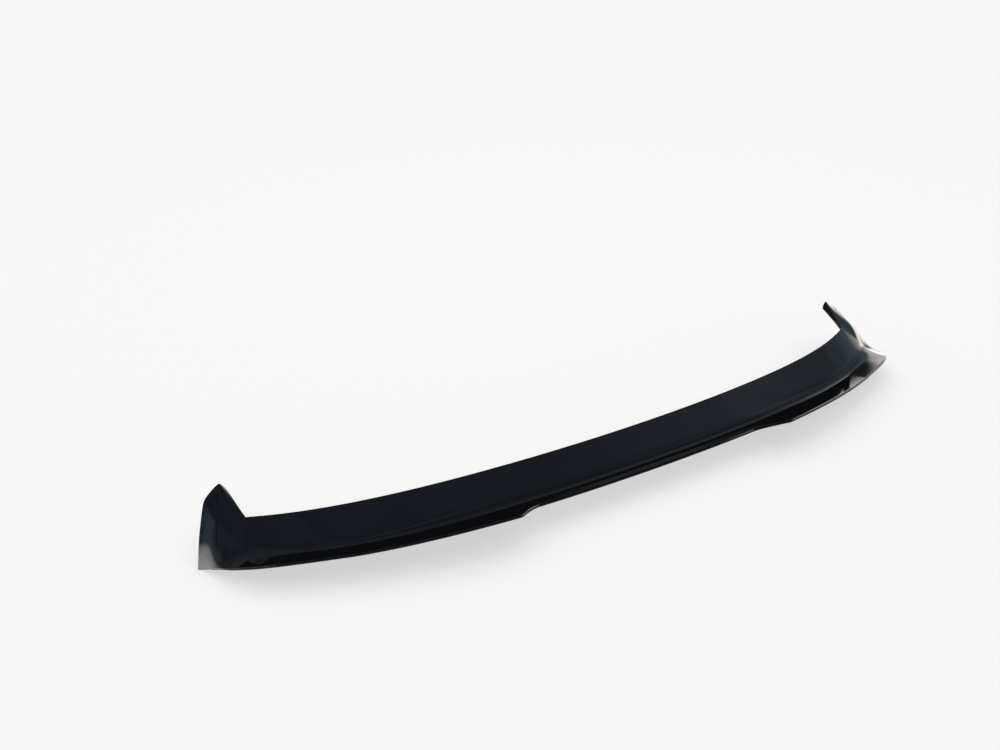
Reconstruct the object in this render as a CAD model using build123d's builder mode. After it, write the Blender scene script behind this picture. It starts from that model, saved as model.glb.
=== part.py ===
"""Rear roof-spoiler cap: a glossy ABS skin on double-sided tape, with a fin at each end.

Frame: +X across the car, +Y towards its front, +Z up, as the cap sits on the car. The origin
is the middle of the bonding face of the long tape. Sizes are in millimetres.

Every piece is a loft along the car's width through closed sections. The sections turn round
the rear corners and are not flat there, so their wires are made point by point.
"""
import os
from math import pi, sin

from build123d import *

os.makedirs("parts", exist_ok=True)

# ---- driving dimensions ------------------------------------------------------------------
HALF_SPAN = 600.0           # u = x / HALF_SPAN runs from 0 at the middle to about 1 at a fin
END_X = 448.0               # beyond this the cap turns forwards into its fin and its leg
SKIN = 3.0                  # outer skin
RIM_SKIN = 1.4              # outer skin where it is thinned along its trailing edge
LOWER_SKIN = 1.6            # lower skin
NOTCH_SKIN = 2.4            # outer skin along the notch
RIM_GAP = 0.3               # between the skins along the trailing edge
RAMP_GAP = 2.2              # between the skins at the foot of the ramp
FIN_GAP = 3.6               # the same, inside the fins
NOTCH_HALF = 234.0          # middle notch, from the centre to its outer corner
NOTCH_SIDE = 44.0           # length across the car of the notch's curved side
COVE_REACH = 18.0           # how far the cove's corner lies behind the ridge, in the middle
COVE_TIGHTENING = 12.0      # how much less that is at the ends
COVE_DROP = 5.5             # how much lower the cove's corner lies at the ends
COVE_SHARE = 0.24           # share of the ramp that the cove takes
END_COVE_SHARE = 0.4        # the same, on the fins
CLEARANCE = 0.3             # between a curved face and the piece that it touches
BEAD_SHARE = 0.35           # share of the way from the ramp's foot to the flap that the bead takes
TAPE_SETBACK = 17.0         # front edge of the flange to the tape
TAPE_WIDTH = 20.0
FOAM = 2.0                  # foam core of the tape
LINER = 0.5                 # release liner
LEG_TAPE_INSET = 6.0        # crease of the leg to its tape
LEG_TAPE_WIDTH = 16.0

# stations: x for the middle stretch, then a turn from 0 to 1 round an end
MIDDLE_STEPS = (0, 40, 80, 120, 160, 190, 200, 211, 222, NOTCH_HALF, 270, 310, 350, 390, 420)
TURN_STEPS = (0, 0.1, 0.2, 0.3, 0.38, 0.44, 0.5, 0.56, 0.64, 0.73, 0.82, 0.91, 1)
CORNER_TURN = 0.5           # the turn at which the flange ends and the leg begins
CORNER_RIM = 0.75           # how far the rim's end curve has run by then
CREST_TURN = 0.38           # the turn at which the leg's crease leaves the ridge
FLAP_TURN = 0.3             # the turn at which the lower skin's front edge leaves its long line
LOWER_SKIN_TURN = 0.82      # the lower skin tapers out at this turn


# ---- the lines that the cap is drawn on ---------------------------------------------------
def even_line(x, y_terms, z_terms):
    """A point on a line that is symmetric about the middle: terms in 1, u^2 and u^6."""
    powers = (1, (x / HALF_SPAN) ** 2, (x / HALF_SPAN) ** 6)
    y = sum(term * power for term, power in zip(y_terms, powers))
    z = sum(term * power for term, power in zip(z_terms, powers))
    return Vector(x, y, z)


def front_line(x):
    return even_line(x, (22, 73, 57), (16.6, -6, 0))


def ridge_line(x):
    return even_line(x, (-17, 52, 92), (-2.4, -7, 0))


def tail_line(x):
    return even_line(x, (-96, 116, 41), (12.2, -31, 10))


def notch_line(x):
    return even_line(x, (-57.5, 48, 0), (-4.2, 6.8, 0))


def flap_line(x):
    return even_line(x, (-33.5, 74, 83), (-18, -8, 18))


FRONT_CORNER = front_line(530.4)
RIDGE_CORNER = ridge_line(551)
FLAP_CORNER = flap_line(528)
LEG_INNER_TIP = Vector(533, 154, 31.6)
LEG_CREST_TIP = Vector(541, 151, 38.6)
LEG_OUTER_TIP = Vector(566, 152.5, 23.1)
FIN_TIP = Vector(597.5, 110.3, -43.4)
RIM_BOW = (Vector(568.3, 22.3, -6.7), Vector(558.8, 25.8, -9))
FLAP_BOW = (Vector(548, 78, -22), Vector(580, 104, -36))
FIN_OUTWARD = Vector(0.62, -0.45, 0.64)
FIN_START_SAG, FIN_CORNER_SAG, FIN_TIP_SAG = 3.5, 5.0, -5.0     # how far the fin's face is hollowed
FIN_CORNER_VALLEY, FIN_TIP_VALLEY = 0.3, 0.45       # where its hollow lies, from ridge to rim
COVE_END_X = 520.0                          # the x that shapes the cove at the flange's corner
CREST_SHARE, CORNER_CREST_SHARE = 0.9, 0.15         # where the crease lies, from front to ridge
LEG_BOW = Vector(5, 0, 1.5)                 # how far the leg's outer ridge bows out


def mix(start, end, share):
    return start + (end - start) * share


def bezier(points, t):
    """De Casteljau's construction."""
    while len(points) > 1:
        points = [mix(a, b, t) for a, b in zip(points, points[1:])]
    return points[0]


def share_of(value, start, end):
    return min(max((value - start) / (end - start), 0), 1)


def eased(share):
    return share * share * (3 - 2 * share)


# ---- one station: the eight rows of the outer face and the front edge of the lower skin ------
def cove(ridge, valley, rim, share_of_ramp=COVE_SHARE):
    """Rows from the ridge, round the cove and up the ramp to the rim."""
    ramp_start = mix(valley, rim, share_of_ramp)
    return [bezier([ridge, valley, ramp_start], share) for share in (0.25, 0.5, 0.75, 1)]


def flange_carried_on(front, ridge, x):
    """The cove's corner, on the flange's own plane in the middle so that the two meet smoothly."""
    u2 = (x / HALF_SPAN) ** 2
    flange = (ridge - front).normalized()
    return ridge + flange * (COVE_REACH - COVE_TIGHTENING * u2) - Vector(0, 0, COVE_DROP * u2)


def middle_station(x):
    side = share_of(abs(x), NOTCH_HALF - NOTCH_SIDE, NOTCH_HALF) ** 1.5
    front, ridge = front_line(x), ridge_line(x)
    rim = mix(notch_line(x), tail_line(x), side)
    crest, valley = mix(front, ridge, CREST_SHARE), flange_carried_on(front, ridge, x)
    return [front, crest, ridge] + cove(ridge, valley, tail_line(x)) + [rim], flap_line(x)


def end_station(turn):
    flange, leg = min(turn / CORNER_TURN, 1), share_of(turn, CORNER_TURN, 1)
    if leg:
        front = mix(FRONT_CORNER, LEG_INNER_TIP, leg)
        ridge = mix(RIDGE_CORNER, LEG_OUTER_TIP, leg) + LEG_BOW * sin(pi * leg) ** 2
        rim_turn = mix(CORNER_RIM, 1, leg)
    else:
        front = front_line(mix(END_X, FRONT_CORNER.X, flange))
        ridge = ridge_line(mix(END_X, RIDGE_CORNER.X, flange))
        rim_turn = CORNER_RIM * flange
    crest_share = mix(CREST_SHARE, CORNER_CREST_SHARE, share_of(turn, CREST_TURN, CORNER_TURN))
    crest = mix(mix(front, ridge, crest_share), LEG_CREST_TIP, leg)
    rim = bezier([tail_line(END_X), *RIM_BOW, FIN_TIP], rim_turn)
    long_valley = flange_carried_on(front, ridge, mix(END_X, COVE_END_X, flange))
    sag = mix(mix(FIN_START_SAG, FIN_CORNER_SAG, flange), FIN_TIP_SAG, leg)
    hollow_at = mix(FIN_CORNER_VALLEY, FIN_TIP_VALLEY, leg)
    fin_valley = mix(ridge, rim, hollow_at) - FIN_OUTWARD * sag
    valley = mix(long_valley, fin_valley, eased(flange))
    if turn < FLAP_TURN:
        flap = flap_line(mix(END_X, FLAP_CORNER.X, turn / FLAP_TURN))
    else:
        flap = bezier([FLAP_CORNER, *FLAP_BOW, FIN_TIP], share_of(turn, FLAP_TURN, 1))
    share = mix(COVE_SHARE, END_COVE_SHARE, flange)
    return [front, crest, ridge] + cove(ridge, valley, rim, share) + [rim], flap


def mirrored(points):
    return [Vector(-point.X, point.Y, point.Z) for point in points]


right = [middle_station(x) for x in MIDDLE_STEPS] + [end_station(turn) for turn in TURN_STEPS]
left = [(mirrored(rows), *mirrored([flap])) for rows, flap in right[:0:-1]]
outer = [rows for rows, _ in left + right]
flap_edge = [flap for _, flap in left + right]
CENTRE = len(left)
TURN_START = CENTRE + len(MIDDLE_STEPS)


# ---- skins from a grid of points -------------------------------------------------------------
def quad_normal(grid, i, j):
    """Outward normal of one quad: i runs towards +X and j runs from the front to the rear."""
    first, second = grid[i][j + 1] - grid[i + 1][j], grid[i + 1][j + 1] - grid[i][j]
    return first.cross(second).normalized()


def corner_normal(grid, i, j):
    """Mitred normal at a grid point, so that an offset keeps the skin's thickness."""
    columns = [k for k in (i - 1, i) if 0 <= k < len(grid) - 1]
    rows = [k for k in (j - 1, j) if 0 <= k < len(grid[0]) - 1]
    normals = [quad_normal(grid, a, b) for a in columns for b in rows]
    mean = sum(normals[1:], normals[0]).normalized()
    return mean / (sum(mean.dot(normal) for normal in normals) / len(normals))


def inside(grid, depths):
    """The grid moved inwards, by one depth for each point of a station."""
    return [
        [point - corner_normal(grid, i, j) * depths[i][j] for j, point in enumerate(rows)]
        for i, rows in enumerate(grid)
    ]


def flatten(points, plane):
    flat = []
    for point in points:
        local = plane.to_local_coords(point)
        flat.append(plane.from_local_coords(Vector(local.X, local.Y, 0)))
    return flat


def three_point_plane(origin, along, aside):
    return Plane(origin, x_dir=along - origin, z_dir=(along - origin).cross(aside - origin))


def ruled(sections):
    return Solid.make_loft([Wire.make_polygon(points, close=True) for points in sections], ruled=True)


# ---- outer skin ------------------------------------------------------------------------------
rim_depths = [NOTCH_SKIN if abs(rows[7].X) < NOTCH_HALF else RIM_SKIN for rows in outer]
inner = inside(outer, [[SKIN] * 7 + [rim_depth] for rim_depth in rim_depths])
shell_sections = [top + under[::-1] for top, under in zip(outer, inner)]
tip_plane = three_point_plane(LEG_OUTER_TIP, FIN_TIP, mix(LEG_INNER_TIP, LEG_CREST_TIP, 0.5))
shell_sections[-1] = flatten(shell_sections[-1], tip_plane)
shell_sections[0] = mirrored(shell_sections[-1])

with BuildPart() as top_shell:
    add(ruled(shell_sections))

# ---- lower skin: under the ramp, then on past the cove to its own front edge ------------------
ramp_under = []
for i, rows in enumerate(outer):
    foot_gap = FIN_GAP if abs(rows[0].X) > FRONT_CORNER.X else RAMP_GAP
    rim = rows[7] - corner_normal(outer, i, 7) * (rim_depths[i] + RIM_GAP)
    ramp_under.append((rim, rows[5] - corner_normal(outer, i, 5) * (SKIN + foot_gap)))
lower_top = [[flap, foot, rim] for (rim, foot), flap in zip(ramp_under, flap_edge)]
skin_end = TURN_START + TURN_STEPS.index(LOWER_SKIN_TURN) + 1
lower_top = lower_top[len(outer) - skin_end:skin_end]
lower_bottom = inside(lower_top, [[LOWER_SKIN] * 3] * len(lower_top))
lower_sections = [top + under[::-1] for top, under in zip(lower_top, lower_bottom)]
end_plane = three_point_plane(lower_top[-1][0], lower_top[-1][2], lower_bottom[-1][2])
lower_sections[-1] = flatten(lower_sections[-1], end_plane)
lower_sections[0] = mirrored(lower_sections[-1])

with BuildPart() as lower_skin:
    add(ruled(lower_sections))

# ---- adhesive bead between the skins at the foot of the ramp ----------------------------------
bead_sections = []
first_bead = CENTRE - len(MIDDLE_STEPS) + 1
for i in range(first_bead, TURN_START):
    flap, foot, _ = lower_top[i - (len(outer) - skin_end)]
    seat = [foot, mix(foot, flap, BEAD_SHARE)]
    roof = [mix(inner[i][5], inner[i][4], BEAD_SHARE), inner[i][5]]
    lift = Vector(0, 0, CLEARANCE)
    section = [point - lift for point in roof] + [point + lift for point in seat]
    bead_sections.append(flatten(section, Plane.YZ.offset(outer[i][0].X)))

with BuildPart() as bond_bead:
    add(ruled(bead_sections))


# ---- tapes and liners on the underside ---------------------------------------------------------
def strip_sections(stations, row, start, width, near, far):
    """Rectangles under one facet: from row to the next corner row, between two depths."""
    sections = []
    for i in stations:
        first, last = outer[i][row], outer[i][2]
        across = (last - first).normalized()
        along = outer[i + 1][row] - outer[i - 1][row]
        normal = across.cross(along).normalized()
        edges = [first + across * start, first + across * (start + width)]
        upper = [edge - normal * (SKIN + near) for edge in edges]
        lower = [edge - normal * (SKIN + far) for edge in reversed(edges)]
        sections.append(upper + lower)
    return sections


rear_end = TURN_START + TURN_STEPS.index(0.38)
rear_stations = range(len(outer) - 1 - rear_end, rear_end + 1)
leg_stations = range(TURN_START + TURN_STEPS.index(0.56), len(outer) - 1)
tape_face = CLEARANCE + FOAM
liner_back = tape_face + CLEARANCE
layers = {"tape": (CLEARANCE, tape_face), "liner": (liner_back, liner_back + LINER)}

pieces = {"top_shell": top_shell, "lower_skin": lower_skin, "bond_bead": bond_bead}
for layer, (near, far) in layers.items():
    rear = strip_sections(rear_stations, 0, TAPE_SETBACK, TAPE_WIDTH, near, far)
    with BuildPart() as pieces[f"{layer}_rear"]:
        add(ruled(rear))
    leg = strip_sections(leg_stations, 1, LEG_TAPE_INSET, LEG_TAPE_WIDTH, near, far)
    with BuildPart() as pieces[f"{layer}_leg_right"]:
        add(ruled(leg))
    with BuildPart() as pieces[f"{layer}_leg_left"]:
        add(ruled([mirrored(section) for section in leg]))

for name, piece in pieces.items():
    piece.part.label = name
    export_step(piece.part, f"parts/{name}.step")
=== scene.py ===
"""A glossy ABS roof-spoiler cap, lying right way up on a pale floor.

Lengths are in metres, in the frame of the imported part: +X across the car, +Y towards its front,
+Z up. The two skins are drawn again on the part's own lines, finely enough for a mirror gloss.
"""

import math

import bmesh
import bpy
import numpy as np
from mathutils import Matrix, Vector


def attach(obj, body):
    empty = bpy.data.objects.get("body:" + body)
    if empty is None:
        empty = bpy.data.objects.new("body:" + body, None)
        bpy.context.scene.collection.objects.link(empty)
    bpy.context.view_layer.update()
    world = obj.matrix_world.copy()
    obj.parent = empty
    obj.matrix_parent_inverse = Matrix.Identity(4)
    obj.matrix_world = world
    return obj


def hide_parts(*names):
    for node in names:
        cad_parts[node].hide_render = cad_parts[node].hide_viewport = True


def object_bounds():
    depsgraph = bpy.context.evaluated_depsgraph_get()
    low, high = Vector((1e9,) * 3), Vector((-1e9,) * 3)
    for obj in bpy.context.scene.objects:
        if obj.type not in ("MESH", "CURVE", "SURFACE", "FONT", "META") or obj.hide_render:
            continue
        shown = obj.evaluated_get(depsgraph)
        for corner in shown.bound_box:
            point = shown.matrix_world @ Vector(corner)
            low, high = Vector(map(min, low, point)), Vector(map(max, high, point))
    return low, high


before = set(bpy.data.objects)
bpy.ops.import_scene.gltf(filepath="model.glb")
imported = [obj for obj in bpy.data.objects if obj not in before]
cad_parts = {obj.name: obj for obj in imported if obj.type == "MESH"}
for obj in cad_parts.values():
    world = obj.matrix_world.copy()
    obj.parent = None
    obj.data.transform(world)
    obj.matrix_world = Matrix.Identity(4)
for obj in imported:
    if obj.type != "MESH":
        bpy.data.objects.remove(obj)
cad_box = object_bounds()
low = Vector(cad_box[0])

MM = 0.001

# ---- camera -------------------------------------------------------------------------------
AZIMUTH = math.radians(-34.06)
ELEVATION = math.radians(25.34)
AIM = Vector((-284.9, -102.0, 226.2)) * MM
DISTANCE = 1652 * MM
SENSOR = 36.0
LENS = 50.88

towards_camera = Vector((
    math.sin(AZIMUTH) * math.cos(ELEVATION),
    -math.cos(AZIMUTH) * math.cos(ELEVATION),
    math.sin(ELEVATION),
))
camera_data = bpy.data.cameras.new("camera")
camera_data.lens = LENS
camera_data.sensor_width = SENSOR
camera_data.clip_start = 0.05
camera = bpy.data.objects.new("camera", camera_data)
bpy.context.scene.collection.objects.link(camera)
camera.location = AIM + towards_camera * DISTANCE
camera.rotation_euler = (-towards_camera).to_track_quat("-Z", "Y").to_euler()
bpy.context.scene.camera = camera


# ---- the lines of the cap, in millimetres ----------------------------------------------------
HALF_SPAN = 600.0           # u = x / HALF_SPAN
END_X = 448.0               # beyond this the cap turns forwards into its fin and its leg
SKIN = 3.0                  # outer skin
RIM_SKIN = 1.4              # outer skin along its trailing edge
NOTCH_SKIN = 2.4            # outer skin along the notch
LOWER_SKIN = 1.6            # lower skin
RIM_GAP = 0.3               # between the skins along the trailing edge
RAMP_GAP = 2.2              # between the skins at the foot of the ramp
FIN_GAP = 3.6               # the same, inside the fins
NOTCH_HALF = 234.0          # middle notch, from the centre to its outer corner
NOTCH_SIDE = 44.0           # length across the car of the notch's curved side
COVE_REACH = 18.0           # how far the cove's corner lies behind the ridge, in the middle
COVE_TIGHTENING = 12.0      # how much less that is at the ends
COVE_DROP = 5.5             # how much lower the cove's corner lies at the ends
COVE_SHARE = 0.24           # share of the ramp that the cove takes
END_COVE_SHARE = 0.4        # the same, on the fins
CORNER_TURN = 0.5           # the turn at which the flange ends and the leg begins
CORNER_RIM = 0.75           # how far the rim's end curve has run by then
CREST_TURN = 0.38           # the turn at which the leg's crease leaves the ridge
FLAP_TURN = 0.3             # the turn at which the lower skin's front edge leaves its long line
LOWER_SKIN_TURN = 0.82      # the lower skin tapers out at this turn


def even_line(x, y_terms, z_terms):
    """A point on a line that is symmetric about the middle: terms in 1, u^2 and u^6."""
    powers = np.array((1, (x / HALF_SPAN) ** 2, (x / HALF_SPAN) ** 6))
    return np.array((x, np.dot(y_terms, powers), np.dot(z_terms, powers)))


def front_line(x):
    return even_line(x, (22, 73, 57), (16.6, -6, 0))


def ridge_line(x):
    return even_line(x, (-17, 52, 92), (-2.4, -7, 0))


def tail_line(x):
    return even_line(x, (-96, 116, 41), (12.2, -31, 10))


def notch_line(x):
    return even_line(x, (-57.5, 48, 0), (-4.2, 6.8, 0))


def flap_line(x):
    return even_line(x, (-33.5, 74, 83), (-18, -8, 18))


FRONT_CORNER = front_line(530.4)
RIDGE_CORNER = ridge_line(551)
FLAP_CORNER = flap_line(528)
LEG_INNER_TIP = np.array((533, 154, 31.6))
LEG_CREST_TIP = np.array((541, 151, 38.6))
LEG_OUTER_TIP = np.array((566, 152.5, 23.1))
FIN_TIP = np.array((597.5, 110.3, -43.4))
RIM_BOW = np.array(((568.3, 22.3, -6.7), (558.8, 25.8, -9)))
FLAP_BOW = np.array(((548, 78, -22), (580, 104, -36)))
FIN_OUTWARD = np.array((0.62, -0.45, 0.64))
FIN_START_SAG, FIN_CORNER_SAG, FIN_TIP_SAG = 3.5, 5.0, -5.0     # how far the fin's face is hollowed
FIN_CORNER_VALLEY, FIN_TIP_VALLEY = 0.3, 0.45       # where its hollow lies, from ridge to rim
COVE_END_X = 520.0                          # the x that shapes the cove at the flange's corner
CREST_SHARE, CORNER_CREST_SHARE = 0.9, 0.15         # where the crease lies, from front to ridge
LEG_BOW = np.array((5.0, 0, 1.5))           # how far the leg's outer ridge bows out
TIP_ARCH = np.array((0.4, 5.5, 2.2))        # how far the leg's end is rounded forwards


def mix(start, end, share):
    return start + (end - start) * share


def share_of(value, start, end):
    return min(max((value - start) / (end - start), 0), 1)


def eased(share):
    return share * share * (3 - 2 * share)


def bezier(points, t):
    """De Casteljau's construction."""
    while len(points) > 1:
        points = [mix(a, b, t) for a, b in zip(points, points[1:])]
    return points[0]


def middle_station(x):
    side = share_of(abs(x), NOTCH_HALF - NOTCH_SIDE, NOTCH_HALF) ** 1.5
    front, ridge = front_line(x), ridge_line(x)
    return {
        "front": front,
        "crest": mix(front, ridge, CREST_SHARE),
        "ridge": ridge,
        "valley": flange_carried_on(front, ridge, x),
        "ramp_end": tail_line(x),
        "rim": mix(notch_line(x), tail_line(x), side),
        "flap": flap_line(x),
        "cove": COVE_SHARE,
        "rim_skin": mix(NOTCH_SKIN, RIM_SKIN, side),
        "foot_gap": RAMP_GAP,
        "tip": 0,
    }


def flange_carried_on(front, ridge, x):
    """The cove's corner point, on the flange's own plane in the middle so that the two meet smoothly."""
    u2 = (x / HALF_SPAN) ** 2
    flange = (ridge - front) / np.linalg.norm(ridge - front)
    return ridge + flange * (COVE_REACH - COVE_TIGHTENING * u2) - np.array((0, 0, COVE_DROP * u2))


def end_station(turn):
    flange, leg = min(turn / CORNER_TURN, 1), share_of(turn, CORNER_TURN, 1)
    if leg:
        front = mix(FRONT_CORNER, LEG_INNER_TIP, leg)
        ridge = mix(RIDGE_CORNER, LEG_OUTER_TIP, leg) + LEG_BOW * math.sin(math.pi * leg) ** 2
        rim_turn = mix(CORNER_RIM, 1, leg)
    else:
        front = front_line(mix(END_X, FRONT_CORNER[0], flange))
        ridge = ridge_line(mix(END_X, RIDGE_CORNER[0], flange))
        rim_turn = CORNER_RIM * flange
    crest_share = mix(CREST_SHARE, CORNER_CREST_SHARE, share_of(turn, CREST_TURN, CORNER_TURN))
    rim = bezier([tail_line(END_X), *RIM_BOW, FIN_TIP], rim_turn)
    long_valley = flange_carried_on(front, ridge, mix(END_X, COVE_END_X, flange))
    sag = mix(mix(FIN_START_SAG, FIN_CORNER_SAG, flange), FIN_TIP_SAG, leg)
    hollow_at = mix(FIN_CORNER_VALLEY, FIN_TIP_VALLEY, leg)
    fin_valley = mix(ridge, rim, hollow_at) - FIN_OUTWARD * sag
    if turn < FLAP_TURN:
        flap = flap_line(mix(END_X, FLAP_CORNER[0], turn / FLAP_TURN))
    else:
        flap = bezier([FLAP_CORNER, *FLAP_BOW, FIN_TIP], share_of(turn, FLAP_TURN, 1))
    return {
        "front": front,
        "crest": mix(mix(front, ridge, crest_share), LEG_CREST_TIP, leg),
        "ridge": ridge,
        "valley": mix(long_valley, fin_valley, eased(flange)),
        "ramp_end": rim,
        "rim": rim,
        "flap": flap,
        "cove": mix(COVE_SHARE, END_COVE_SHARE, flange),
        "rim_skin": RIM_SKIN,
        "foot_gap": mix(RAMP_GAP, FIN_GAP, eased(flange)),
        "tip": leg ** 5,
    }


# ---- fine grids of points --------------------------------------------------------------------
MIDDLE_STEPS = 112
TURN_STEPS = 100
INNER_STRIP_ROWS = 12       # front edge to crease
FLANGE_ROWS = 14            # crease to ridge
COVE_ROWS = 22
RAMP_ROWS = 16
LIP_ROWS = 10               # the lower skin's front lip to the foot of the ramp
ROUNDING_PASSES = 4         # softens the creases to a radius of about 2 mm
FOOT_ROW = INNER_STRIP_ROWS + FLANGE_ROWS + round(COVE_ROWS * 0.75)


def stretch(start, end, count):
    return [mix(start, end, k / count) for k in range(count)]


def outer_rows(station):
    """Points from the front edge, over the flange, round the cove and up the ramp to the rim."""
    foot = mix(station["valley"], station["ramp_end"], station["cove"])
    cove = [station["ridge"], station["valley"], foot]
    rows = stretch(station["front"], station["crest"], INNER_STRIP_ROWS)
    rows += stretch(station["crest"], station["ridge"], FLANGE_ROWS)
    rows += [bezier(cove, k / COVE_ROWS) for k in range(COVE_ROWS)]
    rows += stretch(foot, station["rim"], RAMP_ROWS) + [station["rim"]]
    rows = np.array(rows)
    leg_rows = INNER_STRIP_ROWS + FLANGE_ROWS
    arch = np.sin(np.linspace(0, math.pi, leg_rows + 1)) ** 0.8
    rows[:leg_rows + 1] += arch[:, None] * TIP_ARCH * station["tip"]
    return rows


def rounded(grid, passes):
    """The grid with its creases softened along each station; both edges stay where they are."""
    for _ in range(passes):
        grid[:, 1:-1] += 0.25 * (grid[:, :-2] - 2 * grid[:, 1:-1] + grid[:, 2:])
    return grid


def whole(half):
    """Right-hand stations, from the middle outwards, with the left-hand ones put before them."""
    return np.concatenate((half[:0:-1] * (-1, 1, 1), half))


def outward_normals(grid):
    across, along = np.gradient(grid, axis=0), np.gradient(grid, axis=1)
    normals = np.cross(along, across)
    return normals / np.linalg.norm(normals, axis=2, keepdims=True)


EDGE_STEPS = 4              # points round a sheet's rounded edge
EDGE_BULGE = 0.5            # how far the rounding stands out, as a share of half the thickness


def sheet_loops(outer, depths):
    """Closed section loops for a sheet under a grid, with both long edges rounded over."""
    inner = outer - outward_normals(outer) * depths[..., None]
    angles = [math.pi * (step + 1) / (EDGE_STEPS + 1) for step in range(EDGE_STEPS)]
    edges = []
    for row, neighbour in ((-1, -2), (0, 1)):
        middle, half = (outer[:, row] + inner[:, row]) / 2, (outer[:, row] - inner[:, row]) / 2
        out = outer[:, row] - outer[:, neighbour]
        out *= (np.linalg.norm(half, axis=1) / np.linalg.norm(out, axis=1))[:, None] * EDGE_BULGE
        edges.append(np.stack([middle + half * math.cos(a) + out * math.sin(a) for a in angles], axis=1))
    return np.concatenate((outer, edges[0], inner[:, ::-1], edges[1][:, ::-1]), axis=1)


def mesh_from_loops(name, loops):
    """A closed sheet through the loops. Each end is closed by quads from one face to the other."""
    stations, count = loops.shape[:2]
    opposite = count - 1 - EDGE_STEPS
    last = (stations - 1) * count
    faces = []
    for i in range(stations - 1):
        for j in range(count):
            after = (j + 1) % count
            faces.append((i * count + j, i * count + after, (i + 1) * count + after, (i + 1) * count + j))
    for k in range(-EDGE_STEPS // 2, (opposite - 1) // 2):
        cap = [v % count for v in (k, k + 1, opposite - k - 1, opposite - k)]
        faces += [tuple(cap), tuple(last + v for v in reversed(cap))]
    mesh = bpy.data.meshes.new(name)
    mesh.from_pydata((loops.reshape(-1, 3) * MM).tolist(), [], faces)
    shaped = bmesh.new()
    shaped.from_mesh(mesh)
    bmesh.ops.remove_doubles(shaped, verts=shaped.verts, dist=0.02 * MM)
    bmesh.ops.recalc_face_normals(shaped, faces=shaped.faces)
    shaped.to_mesh(mesh)
    shaped.free()
    mesh.shade_smooth()
    mesh.set_sharp_from_angle(angle=math.radians(40))
    return mesh


def new_piece(name, mesh, material, node):
    """A piece in its place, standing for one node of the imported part."""
    piece = bpy.data.objects.new(name, mesh)
    bpy.context.scene.collection.objects.link(piece)
    mesh.materials.append(material)
    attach(piece, "root")
    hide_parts(node)
    return piece


# ---- materials -------------------------------------------------------------------------------
def linear(hex_colour):
    """An sRGB hex colour as linear RGBA."""
    channels = [int(hex_colour[k:k + 2], 16) / 255 for k in (1, 3, 5)]
    return [c / 12.92 if c <= 0.04045 else ((c + 0.055) / 1.055) ** 2.4 for c in channels] + [1.0]


def add_node(tree, kind, links=None, **settings):
    """Adds a node. Settings name its properties or its input sockets; links name input sockets."""
    node = tree.nodes.new(kind)
    for name, value in settings.items():
        if hasattr(node, name):
            setattr(node, name, value)
        else:
            node.inputs[name.replace("_", " ")].default_value = value
    for name, source in (links or {}).items():
        tree.links.new(source, node.inputs[name])
    return node


def new_material(name):
    material = bpy.data.materials.new(name)
    material.use_nodes = True
    material.node_tree.nodes.clear()
    return material, material.node_tree


def finish_material(tree, shader):
    add_node(tree, "ShaderNodeOutputMaterial", {"Surface": shader.outputs["BSDF"]})


def gloss_abs():
    """Vacuum-formed ABS sheet with a polished black cap layer: deep black, mirror gloss, and the
    faint waviness that the mould's cooling leaves in the reflections."""
    material, tree = new_material("gloss ABS")
    place = add_node(tree, "ShaderNodeTexCoord").outputs["Object"]
    wave_size, haze_size = 60 * MM, 9 * MM
    wave = add_node(
        tree, "ShaderNodeTexNoise", {"Vector": place}, Scale=1 / wave_size, Detail=1.0, Roughness=0.4,
    )
    haze = add_node(
        tree, "ShaderNodeTexNoise", {"Vector": place}, Scale=1 / haze_size, Detail=3.0, Roughness=0.6,
    )
    roughness = add_node(tree, "ShaderNodeMapRange", {"Value": haze.outputs["Fac"]}, To_Min=0.03, To_Max=0.06)
    bump = add_node(tree, "ShaderNodeBump", {"Height": wave.outputs["Fac"]}, Strength=1.0, Distance=0.06 * MM)
    shader = add_node(
        tree, "ShaderNodeBsdfPrincipled",
        {"Roughness": roughness.outputs["Result"], "Normal": bump.outputs["Normal"]},
        Base_Color=linear("#0B0C0F"), IOR=1.54,
    )
    finish_material(tree, shader)
    return material


def matte_abs():
    """The sheet's uncoated back: a blue-black plastic with the fine dull grain of the mould."""
    material, tree = new_material("matte ABS")
    place = add_node(tree, "ShaderNodeTexCoord").outputs["Object"]
    grain_size, cloud_size = 1.2 * MM, 45 * MM
    grain = add_node(tree, "ShaderNodeTexNoise", {"Vector": place}, Scale=1 / grain_size, Detail=2.0)
    cloud = add_node(tree, "ShaderNodeTexNoise", {"Vector": place}, Scale=1 / cloud_size, Detail=2.0)
    colour = add_node(tree, "ShaderNodeValToRGB", {"Fac": cloud.outputs["Fac"]})
    colour.color_ramp.elements[0].color = linear("#13161A")
    colour.color_ramp.elements[1].color = linear("#1E2329")
    bump = add_node(
        tree, "ShaderNodeBump", {"Height": grain.outputs["Fac"]}, Strength=0.6, Distance=0.05 * MM,
    )
    shader = add_node(
        tree, "ShaderNodeBsdfPrincipled",
        {"Base Color": colour.outputs["Color"], "Normal": bump.outputs["Normal"]},
        Roughness=0.55, IOR=1.54,
    )
    finish_material(tree, shader)
    return material


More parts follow.
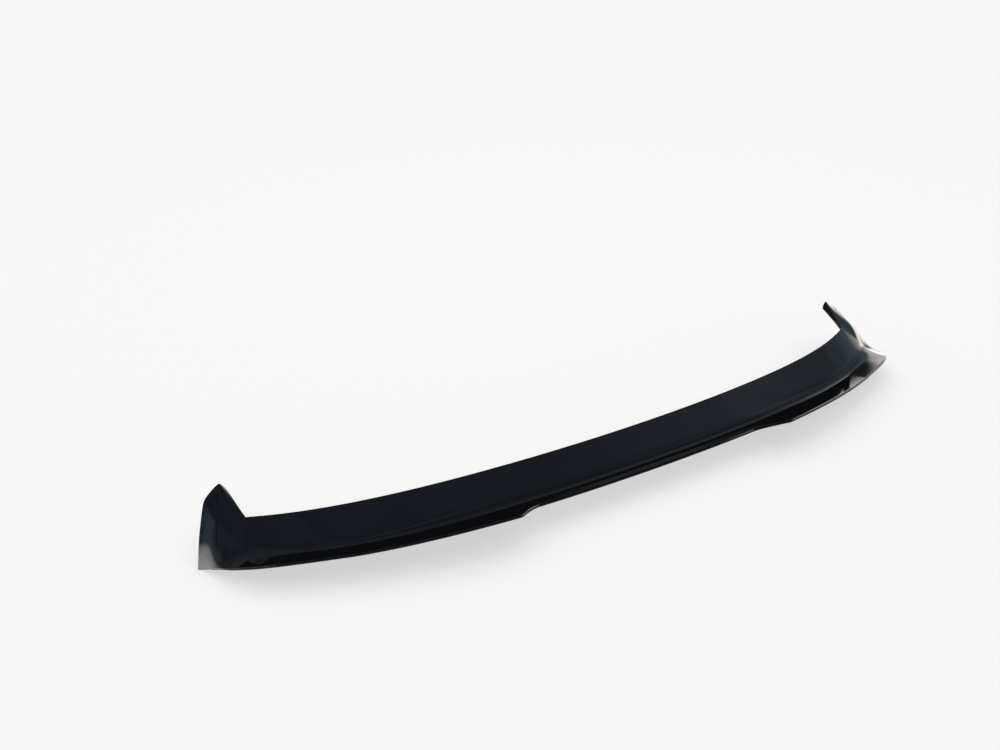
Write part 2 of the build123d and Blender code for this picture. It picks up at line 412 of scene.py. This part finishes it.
def cured_adhesive():
    """Black body adhesive, squeezed flat and cured: dull, slightly lumpy rubber."""
    material, tree = new_material("cured adhesive")
    place = add_node(tree, "ShaderNodeTexCoord").outputs["Object"]
    lump_size = 4 * MM
    lumps = add_node(tree, "ShaderNodeTexNoise", {"Vector": place}, Scale=1 / lump_size, Detail=2.0)
    bump = add_node(tree, "ShaderNodeBump", {"Height": lumps.outputs["Fac"]}, Strength=0.8, Distance=0.3 * MM)
    shader = add_node(
        tree, "ShaderNodeBsdfPrincipled", {"Normal": bump.outputs["Normal"]},
        Base_Color=linear("#1C1C1D"), Roughness=0.7, IOR=1.5,
    )
    finish_material(tree, shader)
    return material


def acrylic_foam():
    """Closed-cell acrylic foam tape, seen at its cut sides: dark red, dull, finely pored, with painted shade
    darkening the bottom of each pore.
    """
    material, tree = new_material("acrylic foam")
    place = add_node(tree, "ShaderNodeTexCoord").outputs["Object"]
    pore_size = 0.6 * MM
    pores = add_node(tree, "ShaderNodeTexVoronoi", {"Vector": place}, Scale=1 / pore_size)
    # painted shade: the colour follows the pore pits of the bump, darkest where each pore is deepest
    colour = add_node(tree, "ShaderNodeValToRGB", {"Fac": pores.outputs["Distance"]})
    colour.color_ramp.elements[0].color = linear("#5A1420")
    colour.color_ramp.elements[1].color = linear("#8C2432")
    bump = add_node(
        tree, "ShaderNodeBump", {"Height": pores.outputs["Distance"]}, Strength=0.7, Distance=0.1 * MM,
    )
    shader = add_node(
        tree, "ShaderNodeBsdfPrincipled",
        {"Base Color": colour.outputs["Color"], "Normal": bump.outputs["Normal"]},
        Roughness=0.75, IOR=1.47,
    )
    finish_material(tree, shader)
    return material


def liner_film():
    """Red polyethylene release film: smooth and waxy, with slight wrinkles across its length, painted darker
    in their troughs and lighter on their crests as painted shade and painted highlight.
    """
    material, tree = new_material("release liner film")
    place = add_node(tree, "ShaderNodeTexCoord").outputs["Object"]
    wrinkle_size = 25 * MM
    wrinkles = add_node(tree, "ShaderNodeTexNoise", {"Vector": place}, Scale=1 / wrinkle_size, Detail=2.0)
    # painted shade and painted highlight: the colour follows the wrinkles' height, darker in the troughs and
    # lighter on the crests
    colour = add_node(tree, "ShaderNodeValToRGB", {"Fac": wrinkles.outputs["Fac"]})
    colour.color_ramp.elements[0].color = linear("#E23A44")
    colour.color_ramp.elements[1].color = linear("#F05058")
    bump = add_node(
        tree, "ShaderNodeBump", {"Height": wrinkles.outputs["Fac"]}, Strength=0.6, Distance=0.3 * MM,
    )
    shader = add_node(
        tree, "ShaderNodeBsdfPrincipled",
        {"Base Color": colour.outputs["Color"], "Normal": bump.outputs["Normal"]},
        Roughness=0.35, IOR=1.51,
    )
    finish_material(tree, shader)
    return material


def studio_floor():
    """Matte translucent acrylic lit from beneath, which leaves only soft, pale shadows on it."""
    material, tree = new_material("backlit opal acrylic")
    shader = add_node(
        tree, "ShaderNodeBsdfPrincipled", Base_Color=linear("#AEAEAE"), Roughness=0.9, IOR=1.45,
        Specular_IOR_Level=0.0, Emission_Color=linear("#FFFFFF"), Emission_Strength=0.5,
    )
    finish_material(tree, shader)
    return material


GLOSS_ABS, MATTE_ABS, ADHESIVE = gloss_abs(), matte_abs(), cured_adhesive()
FOAM, LINER = acrylic_foam(), liner_film()

# ---- the two skins ---------------------------------------------------------------------------
half = [middle_station(END_X * k / MIDDLE_STEPS) for k in range(MIDDLE_STEPS)]
half += [end_station(k / TURN_STEPS) for k in range(TURN_STEPS + 1)]
outer = whole(rounded(np.array([outer_rows(station) for station in half]), ROUNDING_PASSES))
rim_skin = np.array([station["rim_skin"] for station in half])
foot_gap = np.array([station["foot_gap"] for station in half])
flap = whole(np.array([[station["flap"]] for station in half]))[:, 0]
rim_skin = np.concatenate((rim_skin[:0:-1], rim_skin))
foot_gap = np.concatenate((foot_gap[:0:-1], foot_gap))

row_count = outer.shape[1]
thinning = np.clip((np.arange(row_count) - FOOT_ROW) / (row_count - 1 - FOOT_ROW), 0, 1)
skin_depths = SKIN + (rim_skin[:, None] - SKIN) * thinning
new_piece(
    "top_shell_skin", mesh_from_loops("top_shell_skin", sheet_loops(outer, skin_depths)),
    GLOSS_ABS, "top_shell",
)

normals = outward_normals(outer)
rim_under = outer[:, -1] - normals[:, -1] * (rim_skin + RIM_GAP)[:, None]
foot_under = outer[:, FOOT_ROW] - normals[:, FOOT_ROW] * (SKIN + foot_gap)[:, None]
lower = np.array([
    stretch(lip, foot, LIP_ROWS) + stretch(foot, rim, RAMP_ROWS) + [rim]
    for lip, foot, rim in zip(flap, foot_under, rim_under)
])
untapered = round((1 - LOWER_SKIN_TURN) * TURN_STEPS)
lower = rounded(lower[untapered:-untapered], ROUNDING_PASSES)
lower_depths = np.full(lower.shape[:2], LOWER_SKIN)
new_piece(
    "lower_skin_sheet", mesh_from_loops("lower_skin_sheet", sheet_loops(lower, lower_depths)),
    MATTE_ABS, "lower_skin",
)

for node_name, material in (
    ("bond_bead", ADHESIVE),
    ("tape_rear", FOAM), ("tape_leg_left", FOAM), ("tape_leg_right", FOAM),
    ("liner_rear", LINER), ("liner_leg_left", LINER), ("liner_leg_right", LINER),
):
    for material_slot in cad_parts[node_name].material_slots:
        material_slot.material = material
    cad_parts[node_name].visible_diffuse = False       # no red cast on the pale floor

# ---- floor, world and lights --------------------------------------------------------------------
FLOOR_REACH = 30.0
floor_mesh = bpy.data.meshes.new("floor")
floor_mesh.from_pydata(
    [(x * FLOOR_REACH, y * FLOOR_REACH, low.z) for x, y in ((-1, -1), (1, -1), (1, 1), (-1, 1))],
    [], [(0, 1, 2, 3)],
)
floor_mesh.materials.append(studio_floor())
floor = bpy.data.objects.new("floor", floor_mesh)
bpy.context.scene.collection.objects.link(floor)
floor.visible_glossy = False

# The gloss mirrors a sky that is dark overhead. Ahead of the cap its horizon is a dim olive
# treeline with nothing below it; out to the sides it is open and bright, and so is the ground. Each stop is a
# height from -1 straight down to 1 straight up, a colour and a strength.
SKY_AHEAD = (
    (-0.01, "#000000", 0.0),
    (0.0, "#8A8468", 0.12),
    (0.29, "#8A8C7C", 0.16),
    (0.33, "#8DA0B0", 0.35),
    (0.50, "#8C9FAC", 0.45),
    (0.84, "#8390A6", 0.5),
    (1.0, "#7886A0", 0.5),
)
SKY_ASIDE = (
    (-0.34, "#000000", 0.0),
    (-0.28, "#F2F3F4", 1.6),
    (0.0, "#FFF8EC", 3.6),
    (0.10, "#F3EFE6", 3.0),
    (0.24, "#D0D4D6", 2.4),
    (0.32, "#93A8B4", 0.85),
    (0.50, "#93A8B4", 0.85),
    (0.84, "#8390A6", 0.5),
    (1.0, "#7886A0", 0.5),
)
ASIDE_FROM, ASIDE_TO = 0.655, 0.685         # how far sideways the open horizon starts and is full
CLOUD_SCALE = 3.2                           # clouds across a quarter of the sky
CLOUD_LOW, CLOUD_HIGH = 0.45, 1.5           # how far they dim and brighten it
FIRST_BOUNCE = 1.5                          # a reflection of a reflection, past this depth, is dark

world = bpy.data.worlds.new("studio")
bpy.context.scene.world = world
world.use_nodes = True
tree = world.node_tree
tree.nodes.clear()
direction = add_node(tree, "ShaderNodeTexCoord").outputs["Generated"]
axes = add_node(tree, "ShaderNodeSeparateXYZ", {"Vector": direction})
height = add_node(tree, "ShaderNodeMapRange", {"Value": axes.outputs["Z"]}, From_Min=-1.0)
skies = []
for sky in (SKY_AHEAD, SKY_ASIDE):
    ramp = add_node(tree, "ShaderNodeValToRGB", {"Fac": height.outputs["Result"]})
    stops = ramp.color_ramp.elements
    while len(stops) < len(sky):
        stops.new(0.5)
    for stop, (position, colour, strength) in zip(stops, sky):
        stop.position = (position + 1) / 2
        stop.color = [channel * strength for channel in linear(colour)[:3]] + [1.0]
    skies.append(ramp.outputs["Color"])
sideways = add_node(tree, "ShaderNodeMath", {0: axes.outputs["X"]}, operation="ABSOLUTE")
aside = add_node(
    tree, "ShaderNodeMapRange", {"Value": sideways.outputs["Value"]}, interpolation_type="SMOOTHSTEP",
    From_Min=ASIDE_FROM, From_Max=ASIDE_TO,
)
clouds = add_node(tree, "ShaderNodeTexNoise", {"Vector": direction}, Scale=CLOUD_SCALE, Detail=5.0)
cloud_strength = add_node(
    tree, "ShaderNodeMapRange", {"Value": clouds.outputs["Fac"]},
    From_Min=0.35, From_Max=0.65, To_Min=CLOUD_LOW, To_Max=CLOUD_HIGH,
)
AHEAD_SOCKET, ASIDE_SOCKET, MIXED_SOCKET = 6, 7, 2      # the colour sockets of a Mix node
whole_sky = add_node(
    tree, "ShaderNodeMix", {0: aside.outputs["Result"], AHEAD_SOCKET: skies[0], ASIDE_SOCKET: skies[1]},
    data_type="RGBA",
)
rays = add_node(tree, "ShaderNodeLightPath")
once = add_node(tree, "ShaderNodeMath", {0: rays.outputs["Glossy Depth"]}, operation="LESS_THAN")
once.inputs[1].default_value = FIRST_BOUNCE
sky_strength = add_node(
    tree, "ShaderNodeMath", {0: once.outputs["Value"], 1: cloud_strength.outputs["Result"]},
    operation="MULTIPLY",
)
mirrored_sky = add_node(
    tree, "ShaderNodeBackground",
    {"Color": whole_sky.outputs[MIXED_SOCKET], "Strength": sky_strength.outputs["Value"]},
)
pale_room = add_node(tree, "ShaderNodeBackground", Color=linear("#FFFFFF"), Strength=1.0)
surround = add_node(
    tree, "ShaderNodeMixShader",
    {
        "Fac": rays.outputs["Is Glossy Ray"],
        1: pale_room.outputs["Background"],
        2: mirrored_sky.outputs["Background"],
    },
)
add_node(tree, "ShaderNodeOutputWorld", {"Surface": surround.outputs["Shader"]})

softbox_data = bpy.data.lights.new("softbox", "AREA")
softbox_data.shape = "RECTANGLE"
softbox_data.size = 2.4
softbox_data.size_y = 1.6
softbox_data.energy = 5.0
softbox = bpy.data.objects.new("softbox", softbox_data)
bpy.context.scene.collection.objects.link(softbox)
softbox.location = (0.6, 0.8, 2.4)
softbox.rotation_euler = (-softbox.location).to_track_quat("-Z", "Y").to_euler()
softbox.visible_glossy = False

bpy.context.scene.view_settings.view_transform = "Standard"
